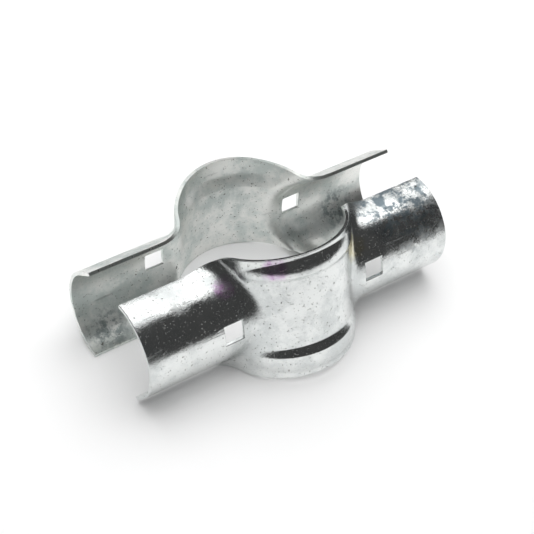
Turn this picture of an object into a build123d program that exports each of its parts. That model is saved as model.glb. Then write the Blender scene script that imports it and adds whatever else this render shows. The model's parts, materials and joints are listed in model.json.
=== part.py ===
"""Pressed steel tube clamp: the two halves of a rail-and-post fitting, lying on a bench as a pair.

Each half is one strip of sheet, pressed to a half-round arm on either side of a deeper half-round
saddle.  The arms hold a rail that runs along X, the saddle goes round an upright post.  One long edge
of the strip is plain, the other ends in a flat lip.  A half is modelled in its own frame, with X along
the rail, +Y out through the crown of the saddle and +Z towards the lip, and is then laid down.
"""

import os
from math import asin, atan2, copysign, cos, degrees, radians, sin, sqrt

from build123d import *

# ---- driving dimensions, millimetres and degrees ----
SHEET = 1.6  # thickness of the steel
RAIL_D = 42.2  # outside of the rail that the arms hold
POST_D = 60.3  # outside of the post that the saddle goes round
POST_CLEARANCE = 1.1  # radial room round the post
LENGTH = 153.0  # end to end, along the rail
PLAIN_ANGLE = 81.0  # an arm's arc, from its crown to the plain edge
LIP_ANGLE = 51.0  # and from its crown to the lip
LIP_TURN = 4.5  # the lip closes in by this much more than the tangent
REAR_LIP = 12.0  # widths of the two lips
FRONT_LIP = 9.6
BLEND = 12.0  # outside radius where an arm turns into the saddle
BLEND_RUN = 5.0  # length each side of the blend over which the strip's lines rise or fall
FRONT_LIP_RIM = 29.6  # height of the saddle's rim above the rail's axis, on the lip's side
REAR_LIP_RIM = 30.0
FRONT_LIP_DROP = 2.2  # how much lower that rim is where the saddle ends
REAR_LIP_DROP = 4.2
FRONT_PLAIN_RIM = 29.4  # depth of the front half's other rim
REAR_PLAIN_RIM = 18.4  # the rear half's other rim is trimmed short, where its bead would start
PLAIN_RIM_DROP = 0.8
BEAD_HEIGHT = 2.0  # how far a bead stands out at the crown
BEAD_REACH = 60.0  # angle from the crown to the ends of a bead
LIP_BEAD = 15.5  # from the rail's axis to the bead on the lip's side
PLAIN_BEAD = 18.4  # and to the bead on the plain side
FRONT_TURN_IN = 3.2  # how far the front half's beads draw back in at the rim
REAR_TURN_IN = 1.5  # and the rear half's
BEAD_SHOULDER = 0.6  # and how far back its edge is at the crease
BEAD_LEDGE = 4.5  # slope inside a bead, from the crease to its full depth
RIM_TRIM = 0.3  # trimmed off the crown of a beaded rim
HOLE = 9.1  # square hole for the neck of a coach bolt
HOLE_X = 36.2  # from the post's axis to the hole's
LIP_CORNER = 2.5  # radius on the free corners of the lip
FRONT_TILT = 19.5  # how far the front half leans back as it lies
PAIR_SHIFT = 3.0  # its offset along the rail
PAIR_GAP = 14.8  # between the axes of the two rail seats, as the halves lie

# ---- what follows from them ----
ARM_R = RAIL_D / 2 + SHEET  # outside of an arm
SADDLE_R = POST_D / 2 + POST_CLEARANCE + SHEET  # outside of the saddle
ARC_PLAIN = ARM_R * radians(PLAIN_ANGLE)  # developed widths of the strip, from the crown line
ARC_LIP = ARM_R * radians(LIP_ANGLE)
LIP_SLOPE = radians(LIP_ANGLE + LIP_TURN)
EDGE = (ARM_R * cos(radians(PLAIN_ANGLE)), -ARM_R * sin(radians(PLAIN_ANGLE)))

# samples of the pressed surface: across the strip, then along an arm, its blend and half the saddle
ACROSS, ALONG_ARM, ALONG_BLEND, ALONG_SADDLE = 36, 6, 10, 9


def lip_tip(lip):
    """Outer corner of a lip of the given width, in an arm's section."""
    turn = radians(LIP_ANGLE)
    return ARM_R * cos(turn) - lip * sin(LIP_SLOPE), ARM_R * sin(turn) + lip * cos(LIP_SLOPE)


def arm_section(width):
    """Point of an arm's outer section, by developed width from the crown: an arc, then a flat lip."""
    if width <= ARC_LIP:
        return ARM_R * cos(width / ARM_R), ARM_R * sin(width / ARM_R)
    return lip_tip(width - ARC_LIP)


def smooth(part):
    part = min(max(part, 0.0), 1.0)
    return part * part * (3 - 2 * part)


def plan_path(y):
    """Plan of a strip line that runs at y along the arm: points (x, y, run past the start of the blend).

    It is straight along the arm, turns by the blend's arc and then follows the saddle's circle to its
    crown.  The last value is the length of the whole turn.
    """
    start = sqrt((SADDLE_R + BLEND) ** 2 - (y + BLEND) ** 2)
    swing = asin(start / (SADDLE_R + BLEND))
    arm = LENGTH / 2 - start
    path = [(-LENGTH / 2 + arm * k / ALONG_ARM, y, -arm * (1 - k / ALONG_ARM)) for k in range(ALONG_ARM)]
    for k in range(ALONG_BLEND):
        turn = swing * k / ALONG_BLEND
        path.append((BLEND * sin(turn) - start, y + BLEND * (1 - cos(turn)), BLEND * turn))
    for k in range(ALONG_SADDLE + 1):
        turn = swing * (1 - k / ALONG_SADDLE)
        path.append((-SADDLE_R * sin(turn), SADDLE_R * cos(turn), BLEND * swing + SADDLE_R * (swing - turn)))
    return path, BLEND * swing


def pressed_line(width, lip, lip_rim, lip_drop, plain_rim):
    """One line of the strip's outer surface, from end to end, at a developed width from the crown.

    Its height passes smoothly from its place on the arm to its place on the saddle.
    """
    y, z_arm = arm_section(width)
    lip_side = ARC_LIP + lip
    lean = lip_rim * (width + ARC_PLAIN) / lip_side + plain_rim * (lip_side - width) / ARC_PLAIN
    z_saddle = width * lean / (ARC_PLAIN + lip_side)
    drop = (lip_drop / lip_side**2 if width > 0 else -PLAIN_RIM_DROP / ARC_PLAIN**2) * width**2
    path, turn_run = plan_path(y)
    points = []
    for x, y_plan, run in path:
        part = smooth((run + BLEND_RUN) / (turn_run + 2 * BLEND_RUN))
        z_there = z_saddle - drop * min(x / SADDLE_R, 1.0) ** 2
        points.append((x, y_plan, z_arm + (z_there - z_arm) * part))
    return points + [(-x, y_plan, z) for x, y_plan, z in reversed(points[:-1])]


def pressed_sheet(lip, lip_rim, lip_drop, plain_rim):
    """The bare strip, pressed to shape, as one sheet."""
    step = (ARC_PLAIN + ARC_LIP + lip) / ACROSS
    widths = [k * step - ARC_PLAIN for k in range(ACROSS + 1)]
    lines = [pressed_line(width, lip, lip_rim, lip_drop, plain_rim) for width in widths]
    outer = Face.make_surface_from_array_of_points([[Vector(*point) for point in line] for line in lines])
    with BuildPart() as sheet:
        thicken(outer, amount=-SHEET)
    return sheet.part


def rim_cutter(rim, drop):
    """Outline between the ends of a bead, from its rim outwards: both sheet and bead are trimmed to it."""
    reach = SADDLE_R * sin(radians(BEAD_REACH))
    ends = rim - drop * sin(radians(BEAD_REACH)) ** 2
    crown = rim - copysign(RIM_TRIM, rim)
    with BuildSketch(Plane.XZ) as outline:
        with BuildLine():
            ThreePointArc((-reach, ends), (0, crown), (reach, ends))
            Polyline((reach, ends), (reach, 2 * rim), (-reach, 2 * rim), (-reach, ends))
        make_face()
    return outline.sketch


def bead_profile(start, rim, radius, turn_in):
    """Outer line of a bead: out from the crease, over a shoulder and in again past the rim."""
    return ThreePointArc(
        (radius - BEAD_SHOULDER, start),
        (radius, start + (rim - start) / 3),
        (radius - turn_in, rim),
    )


def press_bead(half, start, rim, drop, turn_in):
    """Press a crescent bead outwards along one rim of the saddle, and trim that rim."""
    centre = BEAD_HEIGHT * (2 * SADDLE_R + BEAD_HEIGHT)
    centre /= 2 * (SADDLE_R + BEAD_HEIGHT - SADDLE_R * cos(radians(BEAD_REACH)))
    radius = SADDLE_R + BEAD_HEIGHT - centre
    ledge = copysign(BEAD_LEDGE, rim)
    turn_about = Axis((0, centre, 0), (0, 0, 1))
    with BuildPart() as bead:
        with BuildSketch(Plane.XZ.offset(-centre)):
            with BuildLine():
                top = bead_profile(start, rim, radius, turn_in)
                root = radius - BEAD_HEIGHT - SHEET
                Polyline(top @ 1, (root, rim), (root, start), top @ 0)
            make_face()
        revolve(axis=turn_about, revolution_arc=180)
        with BuildSketch(Plane.XY.offset(start)):
            Circle(SADDLE_R - SHEET / 2)
        extrude(amount=rim - start, mode=Mode.SUBTRACT)
    with BuildPart() as groove:
        with BuildSketch(Plane.XZ.offset(-centre)):
            inner = radius - SHEET
            with BuildLine():
                top = bead_profile(start + ledge, rim + ledge / 9, inner, turn_in)
                foot = (inner - BEAD_HEIGHT - SHEET / 9, start - ledge / 3)
                Polyline(top @ 1, (0, rim + ledge / 9), (0, foot[1]), foot, top @ 0)
            make_face()
        revolve(axis=turn_about, revolution_arc=180)
    with BuildPart() as pressed:
        add(half)
        add(bead.part)
        add(groove.part, mode=Mode.SUBTRACT)
        extrude(rim_cutter(rim, drop), amount=-2 * SADDLE_R, mode=Mode.SUBTRACT)
    return pressed.part


def finish_half(half, lip):
    """Punch the two square holes and round the free corners of the lip."""
    corner_x = LENGTH / 2 - LIP_CORNER
    corner_z = lip_tip(lip)[1] - LIP_CORNER
    with BuildPart() as finished:
        add(half)
        with BuildSketch(Plane.XZ):
            with Locations((-HOLE_X, 0), (HOLE_X, 0)):
                Rectangle(HOLE, HOLE)
            with Locations((-corner_x, corner_z)):
                Rectangle(2 * LIP_CORNER, 2 * LIP_CORNER, align=(Align.MAX, Align.MIN))
            with Locations((corner_x, corner_z)):
                Rectangle(2 * LIP_CORNER, 2 * LIP_CORNER, align=(Align.MIN, Align.MIN))
            with Locations((-corner_x, corner_z), (corner_x, corner_z)):
                Circle(LIP_CORNER, mode=Mode.SUBTRACT)
        extrude(amount=-2 * ARM_R, mode=Mode.SUBTRACT)
    return finished.part


def rest_tilt(first, second):
    """Angle in degrees that lays the line through two outer points of a section, (y, z), level."""
    return degrees(atan2(second[1] - first[1], second[0] - first[0]))


def lay_down(half, turn, shift=0.0, gap=0.0):
    """Place of a half turned about the rail's axis and let down on the floor."""
    height = -(Rot(X=turn) * half).bounding_box().min.Z
    return Pos(shift, -gap, height) * Rot(X=turn)


# The rear half lies on the plain edges of its arms and on its plain rim, crown away from the front.
strip = pressed_sheet(REAR_LIP, REAR_LIP_RIM, REAR_LIP_DROP, REAR_PLAIN_RIM)
rear = finish_half(press_bead(strip, LIP_BEAD, REAR_LIP_RIM, REAR_LIP_DROP, REAR_TURN_IN), REAR_LIP)
rear_place = lay_down(rear, -rest_tilt(EDGE, (SADDLE_R, -REAR_PLAIN_RIM)))

# The front half lies the other way up, on the rim at its lip's side.
strip = pressed_sheet(FRONT_LIP, FRONT_LIP_RIM, FRONT_LIP_DROP, FRONT_PLAIN_RIM)
strip = press_bead(strip, LIP_BEAD, FRONT_LIP_RIM, FRONT_LIP_DROP, FRONT_TURN_IN)
front = finish_half(press_bead(strip, -PLAIN_BEAD, -FRONT_PLAIN_RIM, -PLAIN_RIM_DROP, FRONT_TURN_IN), FRONT_LIP)
front_place = lay_down(front, 180 - FRONT_TILT, PAIR_SHIFT, PAIR_GAP)

# The pair stands centred on the origin.
back = (rear_place * rear).bounding_box()
face = (front_place * front).bounding_box()
centre = Pos(-PAIR_SHIFT / 2, -(back.max.Y + face.min.Y) / 2, 0)

with BuildPart() as rear_half:
    add(centre * rear_place * rear)
rear_half.part.label = "rear_half"
with BuildPart() as front_half:
    add(centre * front_place * front)
front_half.part.label = "front_half"

os.makedirs("parts", exist_ok=True)
export_step(rear_half.part, "parts/rear_half.step")
export_step(front_half.part, "parts/front_half.step")
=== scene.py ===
# %% [markdown]
# # Two halves of a pressed steel tube clamp
# The real fitting is a pair of zinc-plated steel pressings. Each has two half-round arms for a rail and
# a deeper half-round saddle for a post. The CAD model gives the frame: sizes, places and bodies. This
# lesson rebuilds the skin of each half on a finer grid, from the same few sizes, and plates it in zinc.

import json
from math import atan2, cos, radians, sin

import bpy
import numpy as np
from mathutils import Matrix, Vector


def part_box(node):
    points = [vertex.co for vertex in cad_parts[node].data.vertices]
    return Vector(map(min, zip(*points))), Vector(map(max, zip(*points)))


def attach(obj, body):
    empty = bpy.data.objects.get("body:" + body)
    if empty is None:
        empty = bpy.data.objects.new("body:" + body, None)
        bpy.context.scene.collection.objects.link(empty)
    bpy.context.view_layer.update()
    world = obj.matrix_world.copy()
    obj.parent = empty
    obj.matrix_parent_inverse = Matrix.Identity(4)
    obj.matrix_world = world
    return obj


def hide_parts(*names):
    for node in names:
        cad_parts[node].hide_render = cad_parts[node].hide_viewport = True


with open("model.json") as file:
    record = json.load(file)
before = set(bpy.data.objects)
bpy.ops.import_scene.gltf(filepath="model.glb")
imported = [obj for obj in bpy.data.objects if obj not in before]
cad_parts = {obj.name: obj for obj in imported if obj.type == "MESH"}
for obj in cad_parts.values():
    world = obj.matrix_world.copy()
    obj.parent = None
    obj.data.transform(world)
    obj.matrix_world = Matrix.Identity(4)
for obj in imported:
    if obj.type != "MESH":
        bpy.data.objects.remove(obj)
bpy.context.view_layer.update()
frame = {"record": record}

# %% [markdown]
# The sizes of the pressing, in metres. An arm is a half-round channel with one plain edge and one flat
# lip. The saddle is a half-round wall, and a bead is a crescent pressed outwards along its rim.

# %% Sizes of the pressing
MM = 0.001
SHEET = 1.6 * MM
ARM_R = 22.7 * MM  # outside of an arm
SADDLE_R = 32.85 * MM  # outside of the saddle
LENGTH = 153.0 * MM
PLAIN_TURN, LIP_TURN, LIP_LEAN = radians(81.0), radians(51.0), radians(55.5)
BLEND, BLEND_RUN = 12.0 * MM, 5.0 * MM  # where an arm turns into the saddle
BEAD_HEIGHT, BEAD_REACH, BEAD_SHOULDER, BEAD_LEDGE = 2.0 * MM, radians(60.0), 0.3 * MM, 4.5 * MM
BEAD_SLOPE = 2.4 * MM  # the outer step is a short slope, not a square shelf
HOLE, HOLE_X = 9.1 * MM, 36.2 * MM
PLAIN_DROP = 0.8 * MM
ARC_PLAIN, ARC_LIP = ARM_R * PLAIN_TURN, ARM_R * LIP_TURN
# what differs between the halves, in millimetres; beads are the creases' heights, lip side and plain side
HALVES = {
    "rear_half": {
        "lip": 12.0, "lip_rim": 30.0, "drop": 4.2, "plain_rim": 18.4, "turn_in": 1.5, "beads": (15.5, None),
    },
    "front_half": {
        "lip": 9.6, "lip_rim": 29.6, "drop": 2.2, "plain_rim": 29.4, "turn_in": 3.2, "beads": (15.5, 18.4),
    },
}
for name, size in HALVES.items():
    print(f"{name}: strip {(ARC_PLAIN + ARC_LIP) / MM + size['lip']:.1f} mm wide before pressing")

# %% [markdown]
# The section of an arm is an arc that ends in a straight lip. Numpy works it out for every line of the
# strip at once, by the line's developed distance from the crown.


# %% The arm's section
def arm_section(width):
    """Outer point (y, z) of an arm: an arc of radius ARM_R, then a straight lip.

    With t = width / ARM_R the arc is (ARM_R cos t, ARM_R sin t); past it, the lip leans by LIP_LEAN.
    """
    turn = np.minimum(width, ARC_LIP) / ARM_R
    lip = np.maximum(width - ARC_LIP, 0.0)
    return ARM_R * np.cos(turn) - lip * np.sin(LIP_LEAN), ARM_R * np.sin(turn) + lip * np.cos(LIP_LEAN)


def smooth(part):
    """0 to 1 with level ends: 3 p^2 - 2 p^3."""
    part = np.clip(part, 0.0, 1.0)
    return part * part * (3 - 2 * part)


def spread(stops, counts):
    """Values from one stop to the next, with a given number of even steps between each pair."""
    runs = [np.linspace(a, b, n, endpoint=False) for a, b, n in zip(stops, stops[1:], counts)]
    return np.concatenate(runs + [[stops[-1]]])


print("lip starts at y, z =", np.round(np.array(arm_section(np.array([ARC_LIP]))).ravel() / MM, 1), "mm")


# %% [markdown]
# One function draws the bare pressing. Each line of the strip is straight along the arm, turns by a
# small arc and goes round the post. The height of the line moves smoothly from arm to saddle. The grid's
# columns are fixed where the square holes are, so that a hole is simply a block of missing faces.

# %% The bare pressing
NEAR, FAR = HOLE_X - HOLE / 2, HOLE_X + HOLE / 2
HOLE_WIDTH = ARM_R * np.arcsin(HOLE / 2 / ARM_R)
print(f"holes from {NEAR / MM:.1f} to {FAR / MM:.1f} mm along the arm")


def pressing(width, column, size):
    """Points of the pressed surface, an array (lines, columns, 3), for the half of the strip with x < 0.

    column runs 0 to 1 along the arm, 1 to 2 round the blend and 2 to 3 round the saddle to its crown.
    Over the blend the height goes smoothly from the arm's to the rim's: z_arm + (z_saddle - z_arm) part.
    """
    y, z_arm = arm_section(width)
    y, z_arm = y[:, None], z_arm[:, None]
    reach = SADDLE_R + BLEND
    start = np.sqrt(reach**2 - (y + BLEND) ** 2)
    crown_start = np.sqrt(reach**2 - (ARM_R + BLEND) ** 2)
    along, turn, round_ = (np.clip(column[None, :] - k, 0.0, 1.0) for k in (0, 1, 2))
    near = (LENGTH / 2 - NEAR) / (LENGTH / 2 - crown_start)
    # level is 1 beside the hole and fades to 0 away from it: there every line has its columns at the same x
    level = smooth((3 * HOLE_WIDTH - np.abs(width[:, None])) / (2 * HOLE_WIDTH))
    level = level * smooth((1 - along) / (1 - near))
    fixed = -LENGTH / 2 + (LENGTH / 2 - crown_start) * along
    free = -LENGTH / 2 + (LENGTH / 2 - start) * along
    last = column[None, :] >= 1.0
    arm_x = np.where(last, -start, fixed * level + free * (1 - level))
    swing = np.arcsin(start / reach)
    blend_x = BLEND * np.sin(swing * turn)
    blend_y = BLEND * (1 - np.cos(swing * turn))
    angle = swing * (1 - round_)
    on_saddle = column[None, :] > 2.0
    x = np.where(on_saddle, -SADDLE_R * np.sin(angle), arm_x + blend_x)
    y_plan = np.where(on_saddle, SADDLE_R * np.cos(angle), y + blend_y)
    past_blend = BLEND * swing + SADDLE_R * (swing - angle)
    run = np.where(on_saddle, past_blend, arm_x + start + BLEND * swing * turn)
    part = smooth((run + BLEND_RUN) / (BLEND * swing + 2 * BLEND_RUN))
    lip_side = ARC_LIP + size["lip"] * MM
    wide = width[:, None]
    lean = size["lip_rim"] * MM * (wide + ARC_PLAIN) / lip_side
    lean = lean + size["plain_rim"] * MM * (lip_side - wide) / ARC_PLAIN
    drop = np.where(wide > 0, size["drop"] * MM / lip_side**2, -PLAIN_DROP / ARC_PLAIN**2) * wide**2
    z_saddle = wide * lean / (ARC_PLAIN + lip_side) - drop * np.minimum(np.abs(x) / SADDLE_R, 1.0) ** 2
    z = z_arm + (z_saddle - z_arm) * part
    return np.stack(np.broadcast_arrays(x, y_plan, z), axis=-1)


# %% [markdown]
# A bead bulges the wall outwards between its crease and the rim. Seen from above it is a crescent: a
# circle of a smaller radius about a point in front of the post's axis. The press leaves a sharp step at
# the crease, a round shoulder beside it, and a rim that is drawn in again.

# %% The beads
BEAD_DEPTH = SADDLE_R * (1 - cos(BEAD_REACH)) + BEAD_HEIGHT
BEAD_CENTRE = BEAD_HEIGHT * (2 * SADDLE_R + BEAD_HEIGHT) / (2 * BEAD_DEPTH)
BEAD_R = SADDLE_R + BEAD_HEIGHT - BEAD_CENTRE
print(f"bead radius {BEAD_R / MM:.1f} mm about a point {BEAD_CENTRE / MM:.1f} mm in front of the post's axis")


def bead_radius(depth, rim, turn_in, crest):
    """Radius of a bead about its own centre at a depth past the crease: a shoulder, then in at the rim."""
    part = np.clip(depth / rim, 0.0, 1.0)
    shoulder = BEAD_SHOULDER * np.clip(1 - 3 * part, 0.0, 1.0) ** 2
    return crest - shoulder - turn_in * np.clip((part - 1 / 3) * 1.5, 0.0, 1.0) ** 2


def press_out(points, size, wall, ledge):
    """Moves the points of the saddle out to the beads: the larger of the wall and the bead's own circle.

    At a bearing b that circle is at BEAD_CENTRE cos b + sqrt(radius^2 - (BEAD_CENTRE sin b)^2).
    """
    x, y, z = points[..., 0], points[..., 1], points[..., 2]
    bearing = np.arctan2(x, y)
    reach = np.hypot(x, y)
    for start, rim, side in zip(size["beads"], (size["lip_rim"], size["plain_rim"]), (1, -1)):
        if start is None:
            continue
        depth = side * z - start * MM
        radius = bead_radius(depth, (rim - start) * MM, size["turn_in"] * MM, BEAD_R - (SADDLE_R - wall))
        inside = radius**2 - (BEAD_CENTRE * np.sin(bearing)) ** 2
        bead = BEAD_CENTRE * np.cos(bearing) + np.sqrt(np.maximum(inside, 0.0))
        rise = np.maximum(bead - wall, 0.0) * np.clip((depth + ledge / 3) / (ledge * 4 / 3), 0.0, 1.0)
        rise = np.where(np.abs(bearing) < BEAD_REACH, rise, 0.0)
        scale = np.where(reach > 0, (reach + rise) / reach, 1.0)
        x, y = x * scale, y * scale
    return np.stack([x, y, z], axis=-1)


# %% [markdown]
# The sheet has two skins. The inner one is the outer one moved along its normal by the sheet's
# thickness, and a strip of faces closes every edge: the rims, the ends and the walls of the holes.

# %% Build a half as one mesh
ARM_RUN = LENGTH / 2 - float(np.sqrt((SADDLE_R + BLEND) ** 2 - (ARM_R + BLEND) ** 2))
HOLE_SPAN = ((LENGTH / 2 - FAR) / ARM_RUN, (LENGTH / 2 - NEAR) / ARM_RUN)
ALONG_STEPS = (34, 12, 6, 26, 46)  # the arm's end, the hole, the neck beside it, the blend, half the saddle
ACROSS_STEPS = (52, 14, 34, 20)  # the plain side, the hole, the lip side's arc, the flat lip
COLUMNS = spread([0.0, *HOLE_SPAN, 1.0, 2.0, 3.0], ALONG_STEPS)


def inward_normals(points):
    """Unit normals of a grid, along x across, which point to the rail and the post."""
    along = np.gradient(points, axis=1)
    across = np.gradient(points, axis=0)
    normal = np.cross(along, across)
    length = np.linalg.norm(normal, axis=-1, keepdims=True)
    return normal / np.where(length > 0, length, 1.0)


def build_half(name, size):
    """A closed sheet of faces for one half, in the half's own frame: x along the rail, y out, z to the lip."""
    lip_side = ARC_LIP + size["lip"] * MM
    creases = [-ARC_PLAIN, -HOLE_WIDTH, HOLE_WIDTH, ARC_LIP, lip_side]
    width = spread(creases, ACROSS_STEPS)
    left = pressing(width, COLUMNS, size)
    right = left[:, -2::-1] * np.array([-1.0, 1.0, 1.0])
    outer = np.concatenate([left, right], axis=1)
    inner = press_out(outer + inward_normals(outer) * SHEET, size, SADDLE_R - SHEET, BEAD_LEDGE)
    outer = press_out(outer, size, SADDLE_R, BEAD_SLOPE)
    lines, columns = outer.shape[:2]
    index = np.arange(lines * columns).reshape(lines, columns)
    column = np.concatenate([COLUMNS[:-1], COLUMNS[::-1]])
    middle_w = (width[:-1] + width[1:]) / 2
    middle_c = (column[:-1] + column[1:]) / 2
    beside_crown = np.abs(middle_w) < HOLE_WIDTH
    in_span = (middle_c > HOLE_SPAN[0]) & (middle_c < HOLE_SPAN[1])
    in_hole = beside_crown[:, None] & in_span[None, :]
    quads = np.stack([index[:-1, :-1], index[1:, :-1], index[1:, 1:], index[:-1, 1:]], axis=-1)
    skin = quads[~in_hole]
    inner_skin = skin[:, ::-1] + lines * columns
    # an edge with a face on one side only is closed with a wall between the two skins
    edges = np.concatenate([skin[:, [0, 1]], skin[:, [1, 2]], skin[:, [2, 3]], skin[:, [3, 0]]])
    key = np.sort(edges, axis=1)
    codes = key[:, 0] * (lines * columns) + key[:, 1]
    _, first, count = np.unique(codes, return_index=True, return_counts=True)
    start, end = edges[first[count == 1]].T
    walls = np.stack([end, start, start + lines * columns, end + lines * columns], axis=-1)
    faces = np.concatenate([skin, inner_skin, walls])
    points = np.concatenate([outer.reshape(-1, 3), inner.reshape(-1, 3)])
    mesh = bpy.data.meshes.new(name + "_skin")
    mesh.from_pydata(points.tolist(), [], faces.tolist())
    mesh.update()
    # pyramids from the origin to every triangle add up to a positive volume when the faces look outwards
    triangles = np.concatenate([faces[:, [0, 1, 2]], faces[:, [0, 2, 3]]])
    first_corner, second_corner, third_corner = (points[triangles[:, k]] for k in range(3))
    volume = np.einsum("ij,ij->", first_corner, np.cross(second_corner, third_corner)) / 6
    print(f"{name}: {len(faces)} faces, {volume * 1e6:.2f} cm3 (positive: the faces look outwards)")
    return mesh, points


# %% [markdown]
# Each half is laid down where the CAD model has it. The rear one leans back on its plain edges, the
# front one is the other way up and rests on its lip. The record's mounts say where: the rail's seat gives
# the axis, the post's seat the lean. The turn is baked into the vertices, so the object itself stays
# unturned at the origin. A bevel rounds the sheared edges a little, as wear and plating do.

# %% Lay the halves down
MOUNTS = {mount["name"]: mount for mount in frame["record"]["mounts"]}
CREASE_ANGLE, EDGE_ANGLE = radians(38), radians(60)
WORN_EDGE = 0.22 * MM


def place_of(name):
    """Lean about x, and origin, of a half: the post seat's axis and the rail seat's position."""
    side = name.removesuffix("half")
    _, axis_y, axis_z = MOUNTS[side + "post_seat"]["axis"]
    return atan2(-axis_y, axis_z), np.array(MOUNTS[side + "rail_seat"]["pos_m"])


skins = {}
for name, size in HALVES.items():
    mesh, points = build_half(name, size)
    lean, origin = place_of(name)
    turn = np.array([[1, 0, 0], [0, cos(lean), sin(lean)], [0, -sin(lean), cos(lean)]])
    turned = points @ turn + origin
    mesh.vertices.foreach_set("co", turned.astype(np.float32).ravel())
    mesh.set_sharp_from_angle(angle=CREASE_ANGLE)
    mesh.update()
    skin = bpy.data.objects.new(name + "_skin", mesh)
    bpy.context.scene.collection.objects.link(skin)
    edge = skin.modifiers.new("worn edge", "BEVEL")
    edge.width, edge.segments = WORN_EDGE, 2
    edge.limit_method, edge.angle_limit = "ANGLE", EDGE_ANGLE
    skins[name] = skin
    low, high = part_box(name)
    print(name, "CAD box", np.round(low, 4), np.round(high, 4))
    print(name, "skin   ", turned.min(0).round(4), turned.max(0).round(4))

# %% [markdown]
# Shader maths is easier to read as formulas, so a small class wraps a socket and overloads the operators.


# %% A small language for shader nodes
class Graph:
    """The nodes of one material, with short ways to add them."""

    def __init__(self, name):
        self.material = bpy.data.materials.new(name)
        self.material.use_nodes = True
        self.nodes, self.links = self.material.node_tree.nodes, self.material.node_tree.links
        self.shader = self.nodes["Principled BSDF"]

    def node(self, kind, settings=None, **inputs):
        made = self.nodes.new("ShaderNode" + kind)
        for key, value in (settings or {}).items():
            setattr(made, key, value)
        for key, value in inputs.items():
            socket = made.inputs[int(key[1:])] if key[1:].isdigit() else made.inputs[key.replace("_", " ")]
            self.put(socket, value)
        return made

    def put(self, socket, value):
        if isinstance(value, Value):
            self.links.new(value.socket, socket)
        elif hasattr(value, "is_output"):
            self.links.new(value, socket)
        else:
            socket.default_value = value

    def math(self, operation, a, b=0.0):
        made = self.node("Math", {"operation": operation}, _0=a, _1=b)
        return Value(self, made.outputs[0])


class Value:
    """One number from a node's socket."""

    def __init__(self, graph, socket):
        self.graph, self.socket = graph, socket

    def __add__(self, other):
        return self.graph.math("ADD", self, other)

    def __sub__(self, other):
        return self.graph.math("SUBTRACT", self, other)

    def __rsub__(self, other):
        return self.graph.math("SUBTRACT", other, self)

    def __mul__(self, other):
        return self.graph.math("MULTIPLY", self, other)

    __radd__, __rmul__ = __add__, __mul__

    def between(self, low, high):
        """0 at low, 1 at high, with a smooth step between."""
        settings = {"interpolation_type": "SMOOTHSTEP"}
        made = self.graph.node("MapRange", settings, Value=self, From_Min=low, From_Max=high)
        return Value(self.graph, made.outputs[0])


# %% [markdown]
# Bright zinc is a mirror with faults: a fine grain, clouds and blotches where the coat is duller, thin
# scratches from handling, dark specks and pits, and small purple and straw tints of the passivation.
# Every one is a noise read at the object's own coordinates, so nothing slides when the view changes.


# %% The zinc plating
def zinc(name, bright, dull, rough_low, rough_high, grain, stains_and_shade):
    """A plated metal: colours between bright and dull, roughness between the two limits.

    The list of stains and shade holds local marks, faults of the coat and patches of painted shade: (point,
    reach, colour, how ragged, added roughness).
    """
    g = Graph(name)
    place = g.node("TexCoord").outputs["Object"]

    def noise(scale, detail=4.0, rough=0.55, stretch=(1, 1, 1), turn=0.0, shift=(0, 0, 0)):
        moved = g.node("Mapping", Vector=place, Scale=stretch, Rotation=(0.0, turn, turn), Location=shift)
        made = g.node("TexNoise", Vector=moved.outputs[0], Scale=scale, Detail=detail, Roughness=rough)
        return Value(g, made.outputs[0])

    def near(point, reach):
        """1 at a point of the object, fading to 0 at the reach, with a ragged edge."""
        away = g.node("VectorMath", {"operation": "DISTANCE"}, _0=place, _1=point).outputs["Value"]
        ragged = Value(g, away) + (noise(180.0, 4.0, 0.7) - 0.5) * reach
        return 1.0 - ragged.between(reach * 0.35, reach)

    def mix(part, a, b):
        made = g.node("Mix", {"data_type": "RGBA"})
        g.put(made.inputs[0], part)
        g.put(made.inputs[6], a)
        g.put(made.inputs[7], b)
        return made.outputs[2]

    cloud = noise(60.0, 6.0, 0.72).between(0.40, 0.62)
    grain_noise = noise(780.0, 5.0, 0.72)
    patch = noise(26.0, 4.0, 0.65, shift=(0.9, 0.2, 0.4)).between(0.52, 0.68)
    blotch = patch * noise(150.0, 4.0, 0.7).between(0.42, 0.60)
    speck = noise(900.0, 2.0, 0.7).between(0.65, 0.70)
    pit = noise(420.0, 2.0, 0.6, shift=(0.5, 0.5, 0.1)).between(0.715, 0.75)
    scratch_a = noise(330.0, 3.0, 0.6, (0.10, 1.0, 1.0), 0.5).between(0.67, 0.72)
    scratch_b = noise(380.0, 3.0, 0.6, (1.0, 0.08, 1.0), 1.1, (0.4, 0.2, 0.1)).between(0.68, 0.73)
    scratch = g.math("MAXIMUM", scratch_a, scratch_b)
    dirt = g.math("MAXIMUM", speck, pit)
    colour = mix(cloud * 0.7, bright, dull)
    matt = 0.0
    # local marks: real faults of the coat, and on the rear half patches of painted shade
    for point, reach, stain_and_shade_colour, ragged, added in stains_and_shade:
        ragged_edge = noise(210.0, 5.0, 0.75).between(0.44, 0.56) * ragged + (1 - ragged)
        part = near(point, reach) * ragged_edge
        colour = mix(part, colour, stain_and_shade_colour)
        matt = part * added + matt
    colour = mix(scratch * 0.25, colour, (0.45, 0.46, 0.46, 1.0))
    colour = mix(dirt * 0.75, colour, (0.13, 0.12, 0.10, 1.0))
    g.put(g.shader.inputs["Base Color"], colour)
    g.shader.inputs["Metallic"].default_value = 1.0
    rough = rough_low + cloud * (rough_high - rough_low) + blotch * 0.22
    rough = rough + matt + scratch * 0.18 + dirt * 0.2
    g.put(g.shader.inputs["Roughness"], rough)
    wave = noise(70.0, 2.0, 0.5)
    height = wave * grain + grain_noise * (blotch * 0.7 + 0.42) - scratch * 0.22 - dirt * 0.4
    bump = g.node("Bump", Strength=0.6, Distance=0.00025, Height=height)
    g.put(g.shader.inputs["Normal"], bump.outputs[0])
    return g.material


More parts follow.
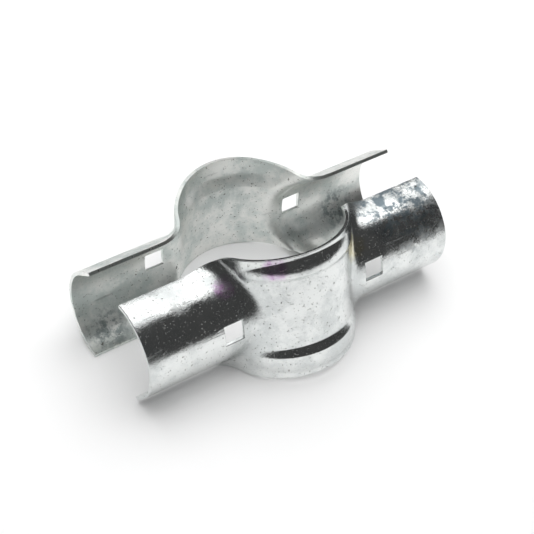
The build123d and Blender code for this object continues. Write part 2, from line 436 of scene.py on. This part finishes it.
PURPLE, STRAW = (0.58, 0.38, 0.61, 1.0), (0.80, 0.72, 0.42, 1.0)
# PAINTED_SHADE_GREY is painted shade, the colour of the dark patches put on the rear half
ETCHED, PAINTED_SHADE_GREY = (0.22, 0.27, 0.30, 1.0), (0.34, 0.38, 0.38, 1.0)
FRONT_STAINS = [
    ((-0.0165, -0.0245, 0.0548), 0.007, PURPLE, 0.5, 0.05),
    ((-0.0330, -0.0140, 0.0432), 0.006, PURPLE, 0.5, 0.05),
    ((0.0305, -0.0231, 0.0445), 0.010, STRAW, 0.3, 0.05),
    ((0.0590, -0.0063, 0.0440), 0.029, ETCHED, 1.0, 0.22),
]
# painted shade and reflection: grey patches low at both ends of the rear half, where it is seen behind the
# front half next to the table
REAR_PAINTED_SHADE = [
    ((0.0589, 0.0250, 0.0089), 0.013, PAINTED_SHADE_GREY, 0.9, 0.0),
    ((-0.0673, 0.0172, 0.0033), 0.012, PAINTED_SHADE_GREY, 0.9, 0.0),
]
FRONT_BRIGHT, FRONT_DULL = (0.82, 0.84, 0.83, 1), (0.58, 0.61, 0.61, 1)
REAR_BRIGHT, REAR_DULL = (0.86, 0.87, 0.84, 1), (0.58, 0.65, 0.63, 1)
FINISH = {
    "front_half": zinc("bright zinc", FRONT_BRIGHT, FRONT_DULL, 0.09, 0.24, 0.9, FRONT_STAINS),
    "rear_half": zinc("dull zinc", REAR_BRIGHT, REAR_DULL, 0.34, 0.48, 1.0, REAR_PAINTED_SHADE),
}
for name, skin in skins.items():
    skin.data.materials.append(FINISH[name])
    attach(skin, "root")
    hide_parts(name)
print("materials:", [m.name for m in FINISH.values()])

# %% [markdown]
# The halves lie on a plain pale table in a dark room. One wide soft lamp hangs above and behind them, so
# that the tops of the arms catch it and their middles mirror the dark, as bright metal does.

# %% Table, lamps and room
TABLE_R = 0.9
WHITE, ROOM_GREY = (1, 1, 1, 1), (0.055, 0.055, 0.055, 1)
bpy.ops.mesh.primitive_circle_add(vertices=96, radius=TABLE_R, fill_type="NGON", location=(0, 0, 0))
table = bpy.context.object
table.name = "table"
paper = Graph("paper")
paper.shader.inputs["Base Color"].default_value = (0.92, 0.92, 0.92, 1)
paper.shader.inputs["Roughness"].default_value = 0.8
table.data.materials.append(paper.material)


def lamp(name, place, size, watts, aim=(0, 0, 0.02)):
    data = bpy.data.lights.new(name, "AREA")
    data.shape, data.size, data.energy = "SQUARE", size, watts
    made = bpy.data.objects.new(name, data)
    made.location = place
    to = np.array(aim) - np.array(place)
    flat = float(np.hypot(to[0], to[1]))
    made.rotation_euler = (float(np.arctan2(flat, -to[2])), 0.0, float(np.arctan2(-to[0], to[1])))
    bpy.context.scene.collection.objects.link(made)
    return made


lamp("overhead", (0.30, 0.48, 0.80), size=1.2, watts=6.4, aim=(0.30, 0.48, 0.0))
wash = lamp("table_wash", (0.0, 0.0, 1.0), size=1.8, watts=14.5, aim=(0.0, 0.01, 0.0))
wash.visible_glossy = False  # it lights the table only, so the metal mirrors the overhead lamp and the dark
room = bpy.data.worlds.new("room")
bpy.context.scene.world = room
room.use_nodes = True
nodes, links = room.node_tree.nodes, room.node_tree.links
ray = nodes.new("ShaderNodeLightPath")
seen = nodes.new("ShaderNodeMix")
seen.data_type = "RGBA"
seen.inputs[6].default_value = ROOM_GREY
seen.inputs[7].default_value = WHITE
links.new(ray.outputs["Is Camera Ray"], seen.inputs[0])
links.new(seen.outputs[2], nodes["Background"].inputs["Color"])
bpy.context.scene.view_settings.view_transform = "Standard"
lamp_names = [thing.name for thing in bpy.context.scene.objects if thing.type == "LIGHT"]
print("lamps:", lamp_names, "table radius", TABLE_R, "m")

# %% [markdown]
# The camera looks down at about fifty degrees with a long lens, from the front left.

# %% Camera
CAMERA_PLACE = (-0.26120, -0.29267, 0.45230)
CAMERA_TURN = (42.088, -6.462, -34.716)  # degrees about x, y and z
LENS, SENSOR = 91.13, 36.0  # millimetres
camera = bpy.data.objects.new("camera", bpy.data.cameras.new("camera"))
camera.location = CAMERA_PLACE
camera.rotation_euler = [radians(angle) for angle in CAMERA_TURN]
camera.data.lens, camera.data.sensor_width = LENS, SENSOR
bpy.context.scene.collection.objects.link(camera)
bpy.context.scene.camera = camera
print(f"camera {np.linalg.norm(CAMERA_PLACE):.3f} m from the origin, lens {LENS} mm")
